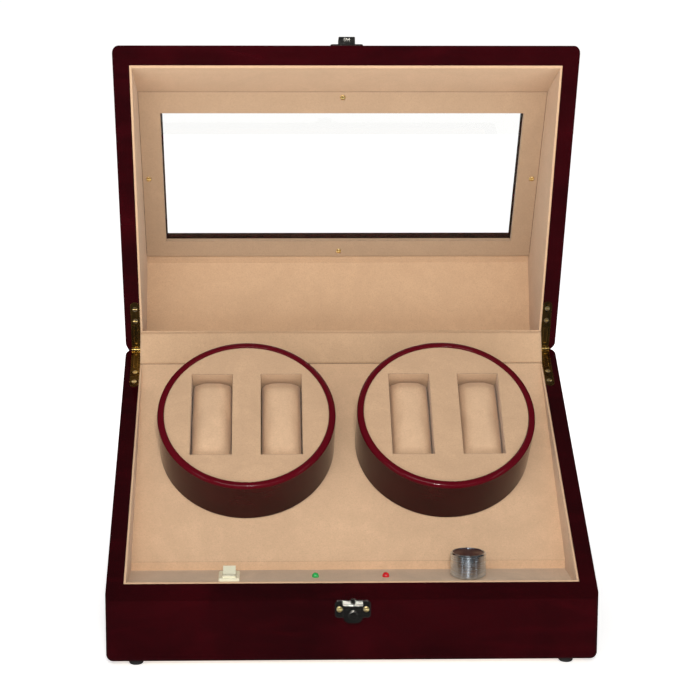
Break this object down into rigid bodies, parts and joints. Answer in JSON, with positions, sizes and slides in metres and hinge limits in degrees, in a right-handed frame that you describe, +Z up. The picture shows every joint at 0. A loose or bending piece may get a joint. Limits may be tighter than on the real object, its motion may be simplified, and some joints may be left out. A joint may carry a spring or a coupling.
{
  "type": "watch winder box",
  "caption": "Lacquered watch winder box with a slanted parting line, glazed hinged lid, suede lining and round turntables that hold watch cushions.",
  "frame": {"origin": "under the middle of the open box, on the plane its feet stand on", "axes": "+Z up, +X to the right seen from the front, +Y from the front latch towards the hinged back"},
  "size_m": [0.34, 0.2796, 0.4337],
  "materials": {
    "lacquer": "high gloss burgundy piano lacquer over MDF",
    "board": "raw medium density board",
    "suede": "beige faux suede",
    "pillow_suede": "soft peach faux suede",
    "brass": "polished brass plate",
    "nickel": "polished nickel plate",
    "steel": "zinc plated steel",
    "spring_steel": "drawn spring wire",
    "aluminium": "turned aluminium with a dark end face",
    "rubber": "moulded black rubber",
    "glass": "clear float glass",
    "cream_plastic": "moulded cream plastic",
    "black_plastic": "moulded black plastic",
    "white_plastic": "moulded white acetal",
    "green_lamp": "tinted clear epoxy, green",
    "red_lamp": "tinted clear epoxy, red",
    "circuit_board": "solder-masked glass epoxy",
    "cable": "thin PVC sleeve"
  },
  "bodies": {
    "base": {"base_front_wall": "lacquer", "base_back_wall": "lacquer", "base_left_wall": "lacquer", "base_right_wall": "lacquer", "bottom_panel": "board", "feet": "rubber", "bottom_screws": "steel", "shelf_board": "board", "shelf_suede": "suede", "deck_board": "board", "deck_suede": "suede", "base_linings": "suede", "hinge_base_leaves": "brass", "hinge_pins": "brass", "latch_housing": "nickel", "base_fitting_screws": "brass", "latch_spring": "spring_steel", "switch_housing": "cream_plastic", "led_green": "green_lamp", "led_red": "red_lamp", "selector_body": "black_plastic", "selector_nut": "steel", "control_board": "circuit_board", "board_standoffs": "white_plastic", "power_inlet": "black_plastic", "gear_motor_left": "steel", "gear_motor_right": "steel", "motor_screws": "steel", "wiring": "cable", "hinge_flap": "suede"},
    "lid": {"lid_front_wall": "lacquer", "window_frame": "lacquer", "lid_top_board": "lacquer", "lid_back_wall": "lacquer", "lid_left_wall": "lacquer", "lid_right_wall": "lacquer", "window_glass": "glass", "window_panel": "suede", "lid_linings": "suede", "hinge_lid_leaves": "brass", "hasp": "nickel", "lid_screws": "brass"},
    "latch_push": {"latch_button": "nickel"},
    "power_switch": {"switch_rocker": "cream_plastic"},
    "mode_knob": {"selector_knob": "aluminium", "selector_spindle": "steel"},
    "turntable_left": {"drum_ring_left": "lacquer", "drum_floor_left": "board", "drum_face_left": "suede", "drum_hub_left": "white_plastic", "output_shaft_left": "steel"},
    "turntable_right": {"drum_ring_right": "lacquer", "drum_floor_right": "board", "drum_face_right": "suede", "drum_hub_right": "white_plastic", "output_shaft_right": "steel"},
    "pillow_left_outer_cushion": {"pillow_left_outer": "pillow_suede"},
    "pillow_left_inner_cushion": {"pillow_left_inner": "pillow_suede"},
    "pillow_right_inner_cushion": {"pillow_right_inner": "pillow_suede"},
    "pillow_right_outer_cushion": {"pillow_right_outer": "pillow_suede"}
  },
  "joints": [
    {"name": "lid_hinge", "type": "hinge", "parent": "base", "child": "lid", "pos_m": [0, 0.06799, 0.19397], "axis": [1, 0, 0], "range_deg": [0, 106.9], "deforming": ["hinge_flap"]},
    {"name": "latch_press", "type": "slide", "parent": "base", "child": "latch_push", "axis": [0, 1, 0], "range_m": [0, 0.0015], "stiffness_N_per_m": 300, "springref_m": -0.0005, "deforming": ["latch_spring"]},
    {"name": "switch_rock", "type": "hinge", "parent": "base", "child": "power_switch", "pos_m": [-0.0856, -0.0914, 0.0537], "axis": [1, 0, 0], "range_deg": [-20, 0]},
    {"name": "selector_turn", "type": "hinge", "parent": "base", "child": "mode_knob", "pos_m": [0.084, -0.0914, 0.0713], "axis": [0, 0, 1], "range_deg": [-135, 135]},
    {"name": "turn_left", "type": "hinge", "parent": "base", "child": "turntable_left", "pos_m": [-0.0737, 0.00044, 0.13043], "axis": [0, -0.6967, 0.7174], "continuous": true},
    {"name": "turn_right", "type": "hinge", "parent": "base", "child": "turntable_right", "pos_m": [0.0737, 0.00044, 0.13043], "axis": [0, -0.6967, 0.7174], "continuous": true},
    {"name": "lift_pillow_left_outer", "type": "slide", "parent": "turntable_left", "child": "pillow_left_outer_cushion", "axis": [0, -0.6967, 0.7174], "range_m": [0, 0.034]},
    {"name": "lift_pillow_left_inner", "type": "slide", "parent": "turntable_left", "child": "pillow_left_inner_cushion", "axis": [0, -0.6967, 0.7174], "range_m": [0, 0.034]},
    {"name": "lift_pillow_right_inner", "type": "slide", "parent": "turntable_right", "child": "pillow_right_inner_cushion", "axis": [0, -0.6967, 0.7174], "range_m": [0, 0.034]},
    {"name": "lift_pillow_right_outer", "type": "slide", "parent": "turntable_right", "child": "pillow_right_outer_cushion", "axis": [0, -0.6967, 0.7174], "range_m": [0, 0.034]}
  ]
}
